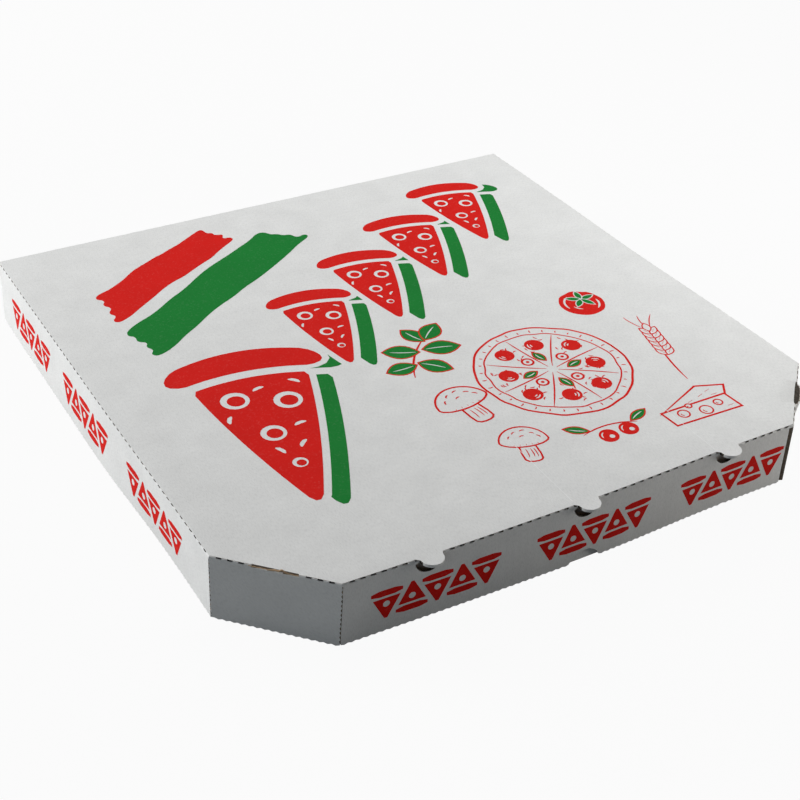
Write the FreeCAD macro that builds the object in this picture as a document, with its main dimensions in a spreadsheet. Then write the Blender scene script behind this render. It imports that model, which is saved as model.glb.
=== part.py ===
import FreeCAD, Part
import Sketcher

import math
import os

# Flat square pizza box folded from one sheet of fine-flute corrugated board.
# The lid is a hood whose flaps hang outside the walls of the tray. Both carry on into
# each other at the crease along the top of the rear wall, where the sheet is parted here.
# Millimetres. Z is up, the front flap faces -Y, and the tray stands on Z = 0.

SIZES = [
    ("width", 330, "outside of the lid from side flap to side flap"),
    ("depth", 330, "outside of the box from front flap to rear wall"),
    ("height", 35, "top of the closed box"),
    ("board", 1.5, "thickness of the corrugated board"),
    ("corner_cut", 41, "how far the two slanted front corners reach along each side"),
    ("fold_radius", 0.8, "rounding of the outside of a crease"),
    ("fit_gap", 0.5, "between a wall of the tray and the flap outside it"),
    ("rest_gap", 0.2, "between the top edges of the tray and the lid"),
    ("floor_gap", 0.8, "between the lower edges of the flaps and the table"),
    ("end_gap", 0.6, "between the end of a flap and the slanted panel beside it"),
    ("rear_relief", 2, "how far the rear ends of the side flaps are cut back"),
    ("corner_tab", 20, "tabs tucked behind a slanted wall of the tray"),
    ("rear_tab", 45, "tabs of the rear wall tucked behind the side walls of the tray"),
    ("tuck_gap", 0.3, "between a tucked tab and the wall that it lies behind"),
    ("tuck_lift", 0.5, "between a tucked tab and the floor of the tray"),
    ("tuck_drop", 2, "how much lower than the walls the tucked tabs end"),
    ("tab_radius", 7, "half-round tab on the front crease"),
    ("tab_neck", 1.2, "straight part of the tab before its round"),
    ("tab_pitch", 82.5, "from tab to tab"),
    ("tab_count", 3, "tabs along the front crease"),
    ("notch_radius", 8.9, "round of the finger notch in the front flap"),
    ("notch_rise", 6.3, "height of the finger notch above the flap's lower edge"),
    ("slot_length", 20.5, "slot in each slanted crease"),
    ("slot_width", 0.9, "how far the slot is cut in from the crease"),
    ("slot_drop", 1.1, "how deep the slot is cut below the top"),
    ("cut_length", 2.5, "each cut of the perforation along the creases of the lid"),
    ("cut_pitch", 5, "from cut to cut"),
    ("cut_width", 0.7, "how far a cut gapes"),
    ("cut_margin", 2.5, "least uncut length at each end of a row of cuts"),
    ("slant_cuts", 3, "cuts at each side of a slot"),
]

TAB_REACH = "(Sizes.tab_neck + Sizes.tab_radius)"
FRONT = f"(-(Sizes.depth - {TAB_REACH}) / 2)"
REAR = f"((Sizes.depth + {TAB_REACH}) / 2)"
SIDE = "(Sizes.width / 2)"
REAR_INSIDE = f"({REAR} - Sizes.board)"
TRAY_OUTSIDE = "(Sizes.board + Sizes.fit_gap)"
TRAY_INSIDE = f"({TRAY_OUTSIDE} + Sizes.board)"
FLAP_TOP = "(Sizes.height - Sizes.board)"
FLAP_RUN = f"({FLAP_TOP} - Sizes.floor_gap)"
TRAY_TOP = f"({FLAP_TOP} - Sizes.rest_gap)"

document = FreeCAD.newDocument("PizzaBox")

sizes = document.addObject("Spreadsheet::Sheet", "Sizes")
for row, (alias, amount, meaning) in enumerate(SIZES, start=1):
    sizes.set(f"A{row}", alias)
    sizes.set(f"B{row}", str(amount))
    sizes.set(f"C{row}", meaning)
    sizes.setAlias(f"B{row}", alias)
document.recompute()


def number(expression):
    value = sizes.evalExpression(expression)
    return float(getattr(value, "Value", value))


def plane_of(body, role):
    return [plane for plane in body.Origin.OriginFeatures if plane.Role == role][0]


def new_body(label):
    body = document.addObject("PartDesign::Body", label)
    body.Label = label
    return body


def new_sketch(body, name, role, offset="0"):
    sketch = body.newObject("Sketcher::SketchObject", name)
    sketch.AttachmentSupport = [(plane_of(body, role), "")]
    sketch.MapMode = "FlatFace"
    sketch.setExpression("AttachmentOffset.Base.z", offset)
    return sketch


def bind(sketch, constraint, expression):
    place = sketch.addConstraint(constraint)
    sketch.setExpression(f"Constraints[{place}]", expression)


def pin(sketch, line, end, across, along):
    bind(sketch, Sketcher.Constraint("DistanceX", -1, 1, line, end, number(across)), across)
    bind(sketch, Sketcher.Constraint("DistanceY", -1, 1, line, end, number(along)), along)


def draw_loop(sketch, corners):
    """A closed outline with straight sides, through corners given as pairs of expressions."""
    points = [FreeCAD.Vector(number(across), number(along), 0) for across, along in corners]
    first = sketch.GeometryCount
    for index, point in enumerate(points):
        following = points[(index + 1) % len(points)]
        sketch.addGeometry(Part.LineSegment(point, following), False)
    for index in range(len(points)):
        following = first + (index + 1) % len(points)
        sketch.addConstraint(Sketcher.Constraint("Coincident", first + index, 2, following, 1))
    for index, (across, along) in enumerate(corners):
        pin(sketch, first + index, 1, across, along)


def draw_circle(sketch, across, along, radius):
    centre = FreeCAD.Vector(number(across), number(along), 0)
    circle = sketch.addGeometry(Part.Circle(centre, FreeCAD.Vector(0, 0, 1), number(radius)), False)
    pin(sketch, circle, 3, across, along)
    bind(sketch, Sketcher.Constraint("Radius", circle, number(radius)), radius)


def draw_half_round(sketch, across, root, centre, radius):
    """A tongue that points down the sketch: two straight sides from its root to a half circle."""
    middle, high, low, size = number(across), number(root), number(centre), number(radius)
    right_top = FreeCAD.Vector(middle + size, high, 0)
    left_top = FreeCAD.Vector(middle - size, high, 0)
    left_low = FreeCAD.Vector(middle - size, low, 0)
    right_low = FreeCAD.Vector(middle + size, low, 0)
    circle = Part.Circle(FreeCAD.Vector(middle, low, 0), FreeCAD.Vector(0, 0, 1), size)
    top = sketch.addGeometry(Part.LineSegment(right_top, left_top), False)
    fall = sketch.addGeometry(Part.LineSegment(left_top, left_low), False)
    bow = sketch.addGeometry(Part.ArcOfCircle(circle, math.pi, 2 * math.pi), False)
    climb = sketch.addGeometry(Part.LineSegment(right_low, right_top), False)
    sketch.addConstraint(Sketcher.Constraint("Coincident", top, 2, fall, 1))
    sketch.addConstraint(Sketcher.Constraint("Tangent", fall, 2, bow, 1))
    sketch.addConstraint(Sketcher.Constraint("Tangent", bow, 2, climb, 1))
    sketch.addConstraint(Sketcher.Constraint("Coincident", climb, 2, top, 1))
    sketch.addConstraint(Sketcher.Constraint("Vertical", fall))
    sketch.addConstraint(Sketcher.Constraint("Vertical", climb))
    sketch.addConstraint(Sketcher.Constraint("Horizontal", top))
    pin(sketch, bow, 3, across, centre)
    bind(sketch, Sketcher.Constraint("Radius", bow, size), radius)
    bind(sketch, Sketcher.Constraint("DistanceY", -1, 1, top, 1, high), root)


def new_pad(body, name, sketch, length, side="One side"):
    pad = body.newObject("PartDesign::Pad", name)
    pad.Profile = sketch
    pad.SideType = side
    pad.setExpression("Length", length)
    return pad


def new_pocket(body, name, sketch, length, side="One side", forward=False):
    """A cut against the sketch's normal, or along it, that has to take something away."""
    document.recompute()
    before = body.Shape.Volume
    pocket = body.newObject("PartDesign::Pocket", name)
    pocket.Profile = sketch
    pocket.SideType = side
    pocket.Reversed = forward
    pocket.setExpression("Length", length)
    document.recompute()
    if not pocket.Shape.Volume < before:
        raise ValueError(f"{name} cuts nothing")
    return pocket


def new_folds(body, name, feature, is_crease):
    """Rounds the outside of the creases."""
    document.recompute()
    edges = enumerate(feature.Shape.Edges, start=1)
    fillet = body.newObject("PartDesign::Fillet", name)
    fillet.Base = (feature, [f"Edge{place}" for place, edge in edges if is_crease(edge)])
    fillet.setExpression("Radius", "Sizes.fold_radius")
    return fillet


def new_mirror(body, name, originals):
    mirror = body.newObject("PartDesign::Mirrored", name)
    mirror.Originals = originals
    mirror.MirrorPlane = (plane_of(body, "YZ_Plane"), [""])
    body.Tip = mirror
    return mirror


def new_row(body, name, originals, axis, count, pitch, backwards=False):
    row = body.newObject("PartDesign::LinearPattern", name)
    row.Originals = originals
    row.Direction = axis
    row.Reversed = backwards
    row.setExpression("Length", f"({count} - 1) * {pitch}")
    row.setExpression("Occurrences", count)
    body.Tip = row
    return row


def slant(inset):
    """Front and side end of the right-hand slanted corner, this far inside the lid's outside."""
    half = f"({SIDE} - {inset})"
    front = f"({FRONT} + {inset})"
    cut = f"(Sizes.corner_cut - {inset} * (2 - sqrt(2)))"
    return (f"({half} - {cut})", front), (half, f"({front} + {cut})")


def plan(inset, rear):
    """Plan of the box, this far inside the lid's outside."""
    (near_x, near_y), (far_x, far_y) = slant(inset)
    return [
        (f"-{far_x}", rear),
        (far_x, rear),
        (far_x, far_y),
        (near_x, near_y),
        (f"-{near_x}", near_y),
        (f"-{far_x}", far_y),
    ]


def lies_at(edge, level):
    return all(abs(vertex.Z - level) < 1e-6 for vertex in edge.Vertexes)


# The tray: a floor with six walls folded up from it.

tray = new_body("tray")

tray_plan = new_sketch(tray, "tray_plan", "XY_Plane")
draw_loop(tray_plan, plan(TRAY_OUTSIDE, REAR))
tray_block = new_pad(tray, "tray_block", tray_plan, TRAY_TOP)
new_folds(tray, "tray_folds", tray_block, lambda edge: lies_at(edge, 0))

tray_room = new_sketch(tray, "tray_room", "XY_Plane", "Sizes.board")
draw_loop(tray_room, plan(TRAY_INSIDE, REAR_INSIDE))
new_pocket(tray, "tray_hollow", tray_room, "Sizes.height", forward=True)

# The walls are parted from each other at the corners of the tray.

(OUT_NEAR_X, OUT_NEAR_Y), (OUT_FAR_X, OUT_FAR_Y) = slant(TRAY_OUTSIDE)
(IN_NEAR_X, IN_NEAR_Y), (IN_FAR_X, IN_FAR_Y) = slant(TRAY_INSIDE)
PARTING = "(Sizes.tuck_gap / sqrt(2))"
REAR_END = f"({IN_FAR_X} - Sizes.tuck_gap)"

parting_plan = new_sketch(tray, "parting_plan", "XY_Plane", "Sizes.board")
draw_loop(parting_plan, [
    (OUT_NEAR_X, OUT_NEAR_Y),
    (f"{OUT_NEAR_X} + {PARTING}", f"{OUT_NEAR_Y} + {PARTING}"),
    (f"{IN_NEAR_X} + {PARTING}", f"{IN_NEAR_Y} + {PARTING}"),
    (IN_NEAR_X, IN_NEAR_Y),
])
draw_loop(parting_plan, [
    (OUT_FAR_X, OUT_FAR_Y),
    (IN_FAR_X, IN_FAR_Y),
    (f"{IN_FAR_X} - {PARTING}", f"{IN_FAR_Y} - {PARTING}"),
    (f"{OUT_FAR_X} - {PARTING}", f"{OUT_FAR_Y} - {PARTING}"),
])
draw_loop(parting_plan, [
    (REAR_END, REAR_INSIDE),
    (IN_FAR_X, REAR_INSIDE),
    (IN_FAR_X, f"{REAR} + Sizes.board"),
    (REAR_END, f"{REAR} + Sizes.board"),
])
partings = new_pocket(tray, "partings", parting_plan, "Sizes.height", forward=True)

# Tabs at the ends of the front and side walls are tucked behind the slanted walls, and tabs
# at the ends of the rear wall behind the side walls. Each starts inside the wall it hangs on.

MIDDLE = "(Sizes.board / 2)"
TAB_FACE = "(Sizes.tuck_gap * sqrt(2))"
TAB_BACK = "((Sizes.tuck_gap + Sizes.board) * sqrt(2))"
TAB_RUN = "(Sizes.corner_tab / sqrt(2))"
TAB_STEP = "(Sizes.board / sqrt(2))"
FRONT_X = f"({IN_NEAR_X} - {MIDDLE} - {TAB_FACE})"
FRONT_Y = f"({IN_NEAR_Y} - {MIDDLE})"
SIDE_X = f"({IN_FAR_X} + {MIDDLE})"
SIDE_Y = f"({IN_FAR_Y} + {MIDDLE} + {TAB_FACE})"

tab_plan = new_sketch(tray, "tucked_plan", "XY_Plane", "Sizes.board + Sizes.tuck_lift")
draw_loop(tab_plan, [
    (FRONT_X, FRONT_Y),
    (f"{FRONT_X} + {TAB_RUN}", f"{FRONT_Y} + {TAB_RUN}"),
    (f"{FRONT_X} + {TAB_RUN} - {TAB_STEP}", f"{FRONT_Y} + {TAB_RUN} + {TAB_STEP}"),
    (f"{IN_NEAR_X} - {MIDDLE} - {TAB_BACK}", FRONT_Y),
])
draw_loop(tab_plan, [
    (SIDE_X, SIDE_Y),
    (SIDE_X, f"{IN_FAR_Y} + {MIDDLE} + {TAB_BACK}"),
    (f"{SIDE_X} - {TAB_RUN} - {TAB_STEP}", f"{SIDE_Y} - {TAB_RUN} + {TAB_STEP}"),
    (f"{SIDE_X} - {TAB_RUN}", f"{SIDE_Y} - {TAB_RUN}"),
])
draw_loop(tab_plan, [
    (f"{REAR_END} - Sizes.board", f"{REAR_INSIDE} - Sizes.rear_tab"),
    (REAR_END, f"{REAR_INSIDE} - Sizes.rear_tab"),
    (REAR_END, f"{REAR_INSIDE} + {MIDDLE}"),
    (f"{REAR_END} - Sizes.board", f"{REAR_INSIDE} + {MIDDLE}"),
])
TUCKED_RUN = f"{TRAY_TOP} - Sizes.board - Sizes.tuck_lift - Sizes.tuck_drop"
tucked_tabs = new_pad(tray, "tucked_tabs", tab_plan, TUCKED_RUN)
new_mirror(tray, "left_corners", [partings, tucked_tabs])

# The rear wall climbs past the others to the crease, where it ends in a mitre.

rear_profile = new_sketch(tray, "rear_profile", "YZ_Plane")
draw_loop(rear_profile, [
    (REAR_INSIDE, "Sizes.board"),
    (REAR, "Sizes.board"),
    (REAR, "Sizes.height"),
    (REAR_INSIDE, FLAP_TOP),
])
new_pad(tray, "rear_wall", rear_profile, f"2 * {REAR_END}", "Symmetric")

# The lid: top panel, two side flaps, a front flap and two slanted panels.

lid = new_body("lid")

lid_plan = new_sketch(lid, "lid_plan", "XY_Plane", "Sizes.floor_gap")
draw_loop(lid_plan, plan("0", REAR))
lid_block = new_pad(lid, "lid_block", lid_plan, "Sizes.height - Sizes.floor_gap")


def is_lid_crease(edge):
    at_rear = all(abs(vertex.Y - number(REAR)) < 1e-6 for vertex in edge.Vertexes)
    return lies_at(edge, number("Sizes.height")) and not at_rear


new_folds(lid, "lid_folds", lid_block, is_lid_crease)

lid_room = new_sketch(lid, "lid_room", "XY_Plane", "Sizes.floor_gap")
draw_loop(lid_room, plan("Sizes.board", f"({REAR} + Sizes.board)"))
new_pocket(lid, "lid_hollow", lid_room, FLAP_RUN, forward=True)

mitre_profile = new_sketch(lid, "mitre_profile", "YZ_Plane")
draw_loop(mitre_profile, [
    (REAR, "Sizes.height"),
    (REAR_INSIDE, FLAP_TOP),
    (REAR, FLAP_TOP),
])
new_pocket(lid, "rear_mitre", mitre_profile, "2 * Sizes.width", "Symmetric")

relief_profile = new_sketch(lid, "relief_profile", "YZ_Plane")
draw_loop(relief_profile, [
    (REAR_INSIDE, FLAP_TOP),
    (f"{REAR_INSIDE} - Sizes.rear_relief", "0"),
    (f"{REAR} + Sizes.board", "0"),
    (f"{REAR} + Sizes.board", FLAP_TOP),
])
new_pocket(lid, "side_flap_ends", relief_profile, "2 * Sizes.width", "Symmetric")

# The flaps beside a slanted panel stop short of it, so that its cut ends stay in view.

END_CUT = "(Sizes.board / sqrt(2) + Sizes.end_gap)"
FRONT_END = slant("0")[0][0]
SIDE_END = slant("0")[1][1]

end_plan = new_sketch(lid, "end_plan", "XY_Plane", "Sizes.floor_gap")
draw_loop(end_plan, [
    (f"{FRONT_END} - {END_CUT}", FRONT),
    (FRONT_END, FRONT),
    (f"{FRONT_END} - {END_CUT}", f"{FRONT} + {END_CUT}"),
])
draw_loop(end_plan, [
    (SIDE, SIDE_END),
    (SIDE, f"{SIDE_END} + {END_CUT}"),
    (f"{SIDE} - {END_CUT}", f"{SIDE_END} + {END_CUT}"),
])
flap_ends = new_pocket(lid, "flap_ends", end_plan, FLAP_RUN, forward=True)

SLOT_X = f"({SIDE} - Sizes.corner_cut / 2)"
SLOT_Y = f"({FRONT} + Sizes.corner_cut / 2)"
SLOT_HALF = "(Sizes.slot_length / 2 / sqrt(2))"
SLOT_IN = "(Sizes.slot_width / sqrt(2))"

slot_plan = new_sketch(lid, "slot_plan", "XY_Plane", "Sizes.height")
draw_loop(slot_plan, [
    (f"{SLOT_X} - {SLOT_HALF} + {SLOT_IN}", f"{SLOT_Y} - {SLOT_HALF} - {SLOT_IN}"),
    (f"{SLOT_X} + {SLOT_HALF} + {SLOT_IN}", f"{SLOT_Y} + {SLOT_HALF} - {SLOT_IN}"),
    (f"{SLOT_X} + {SLOT_HALF} - {SLOT_IN}", f"{SLOT_Y} + {SLOT_HALF} + {SLOT_IN}"),
    (f"{SLOT_X} - {SLOT_HALF} - {SLOT_IN}", f"{SLOT_Y} - {SLOT_HALF} + {SLOT_IN}"),
])
crease_slot = new_pocket(lid, "crease_slot", slot_plan, "Sizes.slot_drop")
new_mirror(lid, "left_corner", [flap_ends, crease_slot])

# Each half-round tab is cut out of the front flap and stays level with the top panel.

FIRST_TAB = "(-(Sizes.tab_count - 1) / 2 * Sizes.tab_pitch)"

hole_profile = new_sketch(lid, "hole_profile", "XZ_Plane", f"-{FRONT}")
draw_half_round(
    hole_profile,
    FIRST_TAB,
    "Sizes.height",
    "Sizes.height - Sizes.tab_neck",
    "Sizes.tab_radius",
)
tab_hole = new_pocket(lid, "tab_hole", hole_profile, "2 * Sizes.board")

tongue_plan = new_sketch(lid, "tongue_plan", "XY_Plane", FLAP_TOP)
draw_half_round(
    tongue_plan,
    FIRST_TAB,
    f"{FRONT} + 2 * Sizes.board",
    f"{FRONT} - Sizes.tab_neck",
    "Sizes.tab_radius",
)
tab_tongue = new_pad(lid, "tab_tongue", tongue_plan, "Sizes.board")
tab_axis = (tongue_plan, ["H_Axis"])
new_row(lid, "tabs", [tab_hole, tab_tongue], tab_axis, "Sizes.tab_count", "Sizes.tab_pitch")

notch_profile = new_sketch(lid, "notch_profile", "XZ_Plane", f"-{FRONT}")
draw_circle(
    notch_profile,
    "0",
    "Sizes.floor_gap + Sizes.notch_rise - Sizes.notch_radius",
    "Sizes.notch_radius",
)
new_pocket(lid, "finger_notch", notch_profile, "2 * Sizes.board")

# Perforation: short cuts slant through the board at each crease of the lid, and the sheet
# folds on the bridges between them.


def draw_cut(sketch, crease, inward=1):
    """Section of a cut, through the corner where the top panel turns down into a flap."""
    past = MIDDLE
    half = "(Sizes.cut_width / 2 / sqrt(2))"
    high = f"(Sizes.height + {past})"
    low = f"({FLAP_TOP} - {past})"
    draw_loop(sketch, [
        (f"{crease} - {inward} * ({past} + {half})", f"{high} - {half}"),
        (f"{crease} + {inward} * (Sizes.board + {past} - {half})", f"{low} - {half}"),
        (f"{crease} + {inward} * (Sizes.board + {past} + {half})", f"{low} + {half}"),
        (f"{crease} - {inward} * ({past} - {half})", f"{high} + {half}"),
    ])


def row_of(count):
    """Length of a row of cuts."""
    return f"(({count} - 1) * Sizes.cut_pitch + Sizes.cut_length)"


def cuts_in(length):
    """How many cuts a straight crease has room for."""
    room = f"({length}) - 2 * Sizes.cut_margin - Sizes.cut_length"
    return f"(floor(({room}) / Sizes.cut_pitch) + 1)"


SLANT_LENGTH = "(Sizes.corner_cut * sqrt(2))"
SLANT_ROW = row_of("Sizes.slant_cuts")
SLANT_MARGIN = f"((({SLANT_LENGTH} - Sizes.slot_length) / 2 - {SLANT_ROW}) / 2)"
SLANT_STARTS = [("first", SLANT_MARGIN), ("last", f"({SLANT_LENGTH} - {SLANT_MARGIN} - {SLANT_ROW})")]
SLANT_SIDES = [
    ("right", 135, FRONT_END, FRONT, 1),
    ("left", 45, f"-{SIDE}", SIDE_END, -1),
]
for side, turn, corner_x, corner_y, heading in SLANT_SIDES:
    for place, start in SLANT_STARTS:
        name = f"{side}_{place}"
        section = new_sketch(lid, f"{name}_section", "XZ_Plane")
        section.AttachmentOffset = FreeCAD.Placement(
            FreeCAD.Vector(0, 0, 0),
            FreeCAD.Rotation(FreeCAD.Vector(0, 1, 0), turn),
        )
        section.setExpression("AttachmentOffset.Base.x", f"{corner_x} + {start} / sqrt(2)")
        section.setExpression("AttachmentOffset.Base.z", f"-({corner_y} + {heading} * {start} / sqrt(2))")
        draw_cut(section, "0")
        cut = new_pocket(lid, f"{name}_cut", section, "Sizes.cut_length", forward=True)
        axis = (section, ["N_Axis"])
        new_row(lid, f"{name}_cuts", [cut], axis, "Sizes.slant_cuts", "Sizes.cut_pitch")

# The front crease is perforated between the tabs, and from the outer tabs to the corners.

TAB_COUNT = int(number("Sizes.tab_count"))
for place in range(TAB_COUNT + 1):
    start = f"({FIRST_TAB} + {place - 1} * Sizes.tab_pitch + Sizes.tab_radius)"
    end = f"({FIRST_TAB} + {place} * Sizes.tab_pitch - Sizes.tab_radius)"
    if place == 0:
        start = f"(-{FRONT_END})"
    if place == TAB_COUNT:
        end = FRONT_END
    count = cuts_in(f"{end} - {start}")
    section = new_sketch(lid, f"front_{place}_section", "YZ_Plane", f"({start} + {end} - {row_of(count)}) / 2")
    draw_cut(section, FRONT)
    cut = new_pocket(lid, f"front_{place}_cut", section, "Sizes.cut_length", forward=True)
    new_row(lid, f"front_{place}_cuts", [cut], (section, ["N_Axis"]), count, "Sizes.cut_pitch")

SIDE_CUTS = cuts_in(f"{REAR} - {SIDE_END}")
side_section = new_sketch(lid, "side_section", "XZ_Plane", f"-({REAR} + {SIDE_END} - {row_of(SIDE_CUTS)}) / 2")
draw_cut(side_section, f"-{SIDE}")
draw_cut(side_section, SIDE, -1)
side_cut = new_pocket(lid, "side_cut", side_section, "Sizes.cut_length")
side_axis = (side_section, ["N_Axis"])
new_row(lid, "side_cuts", [side_cut], side_axis, SIDE_CUTS, "Sizes.cut_pitch", backwards=True)

document.recompute()

for item in document.Objects:
    if "Invalid" in item.State or "Error" in item.State:
        raise ValueError(f"{item.Name} failed: {item.State}")
for body in (tray, lid):
    shape = body.Shape
    if shape.isNull() or not shape.isValid():
        raise ValueError(f"{body.Label} has no valid shape")
    print(body.Label, "solids", len(shape.Solids), "volume", round(shape.Volume, 1), shape.BoundBox)

os.makedirs("parts", exist_ok=True)
for body in (tray, lid):
    body.Shape.exportStep(os.path.join("parts", f"{body.Label}.step"))
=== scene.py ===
import math
import random

import bmesh
import bpy
from mathutils import Matrix, Vector
from mathutils.geometry import delaunay_2d_cdt


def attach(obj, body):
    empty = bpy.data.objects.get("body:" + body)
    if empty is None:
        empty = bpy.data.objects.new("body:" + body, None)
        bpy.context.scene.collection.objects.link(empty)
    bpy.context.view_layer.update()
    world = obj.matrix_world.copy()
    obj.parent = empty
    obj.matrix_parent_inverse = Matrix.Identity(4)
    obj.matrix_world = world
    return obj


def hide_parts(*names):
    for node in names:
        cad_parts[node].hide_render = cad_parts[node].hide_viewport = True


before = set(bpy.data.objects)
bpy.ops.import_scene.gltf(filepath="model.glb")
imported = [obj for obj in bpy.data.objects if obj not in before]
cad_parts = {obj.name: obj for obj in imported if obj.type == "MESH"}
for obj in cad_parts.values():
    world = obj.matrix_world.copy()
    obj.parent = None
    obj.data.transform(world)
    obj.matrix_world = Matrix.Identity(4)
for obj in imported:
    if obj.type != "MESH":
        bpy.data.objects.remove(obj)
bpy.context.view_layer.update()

# Shapes are worked out in millimetres, in the frame's own axes, and turned into metres last.

MM = 0.001
TOP = 35.0
BOARD = 1.5
SIDE = 165.0
FRONT = -160.9
REAR = 169.1
CORNER_CUT = 41.0
TRAY_INSET = 2.0
FLUTE = 3.6
RIM = 0.8
NOTCH_HALF = 16.0
FRONT_END = SIDE - CORNER_CUT
SIDE_END = FRONT + CORNER_CUT
SLANT = math.sqrt(0.5)
UP = Vector((0, 0, 1))

# Points this near to a line or plane count as on it.
NEAR = 0.05
TOUCHING = 0.02

# SHADED is painted shade: a near-black cut edge where shade falls in holes, gaps and slots.
LINER, KRAFT, CUT, SHADED = range(4)


# The box isn't quite true: its front bows outwards, and so does the free edge of the left flap.

BEND_REACH = 52.0
BEND_RISE = 26.0
FRONT_BENDS = [
    # place, how far it is pulled
    ((-FRONT_END, FRONT, 0), (-1.1, -0.5, 0)),
    ((-FRONT_END, FRONT, TOP), (0.3, -0.8, -0.2)),
    ((-60, FRONT, 0), (0.9, -1.8, 0)),
    ((-60, FRONT, TOP), (-0.5, -2.1, 0)),
    ((10, FRONT, 0), (0.6, -2.5, 0)),
    ((10, FRONT, TOP), (-1.5, -2.1, 0)),
    ((80, FRONT, 0), (0.3, 0.1, 0)),
    ((80, FRONT, TOP), (-0.55, -0.6, 0)),
]
FLAP_BENDS = [
    ((-SIDE, 145, 0), (-1.9, 0, 0)),
    ((-SIDE, 75, 0), (-1.8, 0, 0)),
    ((-SIDE, 5, 0), (-2.3, 0, 0)),
    ((SIDE, 20, TOP), (-1.0, 0, 0)),
]


def bent(point, bends):
    result = point.copy()
    for place, pull in bends:
        offset = point - Vector(place)
        across = (offset.x * offset.x + offset.y * offset.y) / BEND_REACH ** 2
        result += Vector(pull) * math.exp(-across - (offset.z / BEND_RISE) ** 2)
    return result


TABS = (-82.5, 0.0, 82.5)
TAB_RADIUS = 7.0
TONGUE_SHARE = 0.78
TONGUE_PLACE = 0.5


def draw_in_tongue(point):
    """Where a point of a tab's tongue lies on the real sheet, whose tongues are smaller."""
    middle = min(TABS, key=lambda place: abs(point.x - place))
    across = point.x - middle
    reach = FRONT - point.y
    if reach < -0.01 or point.z < TOP - BOARD - NEAR or abs(across) > TAB_RADIUS + 1:
        return point
    return Vector((middle + across * TONGUE_SHARE + TONGUE_PLACE, FRONT - reach * TONGUE_SHARE, point.z))


CUT_HALF = 0.35
CUT_SLACK = 0.06
CUT_SHARE = 0.6


def close_cuts(point):
    """The perforation cuts of the left crease have closed a little."""
    level = point.z - TOP
    across = (point.x + SIDE + level) * SLANT
    if point.x > -SIDE + 3 * BOARD or level < -3 * BOARD or abs(abs(across) - CUT_HALF) > CUT_SLACK:
        return point
    shift = across * (CUT_SHARE - 1) * SLANT
    return point + Vector((shift, 0, shift))


SLOT_MIDDLE = Vector((SIDE - CORNER_CUT / 2, FRONT + CORNER_CUT / 2, TOP))
SLOT_HALF = 10.25
SLOT_DROP = 1.1
SLOT_WIDTH = 0.9
SLOT_FLOOR = 4.0
LIP_OUT = 2.4
LIP_IN = 0.3
LIP_DROP = 16.0


def at_right_slot(point):
    """Where a point lies from the right slot's middle: along it, inwards and below the top."""
    offset = point - SLOT_MIDDLE
    return (offset.x + offset.y) * SLANT, (offset.y - offset.x) * SLANT, -offset.z


def open_right_slot(point):
    """The right slot gapes: its outer lip has sprung outwards."""
    along, inwards, drop = at_right_slot(point)
    if abs(along) > SLOT_HALF or inwards > 1.1 * BOARD:
        return point
    share = 1 - (along / SLOT_HALF) ** 4
    out = Vector((SLANT, -SLANT, 0))
    if drop < SLOT_DROP - 0.1:
        return point - out * LIP_IN * share if inwards > SLOT_WIDTH / 2 else point
    if inwards > SLOT_WIDTH + 0.1 and drop < SLOT_FLOOR:
        return point
    return point + out * LIP_OUT * share * max(1 - (drop - SLOT_DROP) / LIP_DROP, 0.0)


def settle(point):
    """Where a point of the true lid, or of the print on it, has moved to."""
    return bent(open_right_slot(draw_in_tongue(close_cuts(point))), FRONT_BENDS + FLAP_BENDS)


WALL_LEAN = 6.0
WALL_FOOT = 0.4
WALL_DEPTH = 12.0
WALL_REACH = 130.0


def lean_in(point):
    """Where a point of the true tray has moved to: its front wall leans in, most at the middle."""
    result = bent(point, FRONT_BENDS)
    share = math.exp(-((point.y - FRONT) / WALL_DEPTH) ** 2 - (point.x / WALL_REACH) ** 2)
    result.y += share * (WALL_LEAN * (point.z / TOP) ** 2 - WALL_FOOT)
    result.z = max(result.z, 0.0)
    return result


def hull_planes(inset):
    """(outward normal, distance) of each upright outer face of the box."""
    front = -FRONT - inset
    side = SIDE - inset
    slanted = SLANT * (SIDE - SIDE_END) - inset
    return [
        (Vector((0, -1, 0)), front),
        (Vector((0, 1, 0)), REAR),
        (Vector((-1, 0, 0)), side),
        (Vector((1, 0, 0)), side),
        (Vector((-SLANT, -SLANT, 0)), slanted),
        (Vector((SLANT, -SLANT, 0)), slanted),
    ]


def depth_inside(point, planes):
    """How far a point lies inside the nearest upright face, and that face's index."""
    return min((distance - normal.dot(point), index) for index, (normal, distance) in enumerate(planes))


WELD = 0.002


def cad_shape(node):
    """The mesh of a CAD node in millimetres, with its seams welded."""
    shape = bmesh.new()
    shape.from_mesh(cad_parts[node].data)
    bmesh.ops.scale(shape, vec=(1 / MM, 1 / MM, 1 / MM), verts=shape.verts)
    bmesh.ops.remove_doubles(shape, verts=shape.verts, dist=WELD)
    return shape


def split_edges(shape, step_of):
    """Cuts each edge into equal pieces no longer than step_of(edge) says, where it says anything."""
    for edge in list(shape.edges):
        step = step_of(edge)
        if not step:
            continue
        pieces = math.ceil(edge.calc_length() / step - 1e-6)
        start, end = edge.verts
        for place in range(pieces - 1):
            made, start = bmesh.utils.edge_split(edge, start, 1 / (pieces - place))
            edge = made if end in made.verts else edge


def flat_groups(shape):
    """Lists of neighbouring faces that lie in one plane."""
    shape.faces.ensure_lookup_table()
    shape.normal_update()
    for face in shape.faces:
        face.tag = False
    groups = []
    for first in shape.faces:
        if first.tag:
            continue
        first.tag = True
        group = [first]
        for face in group:
            for edge in face.edges:
                for other in edge.link_faces:
                    if not other.tag and other.normal.dot(first.normal) > 0.999999:
                        other.tag = True
                        group.append(other)
        groups.append(group)
    return groups


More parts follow.
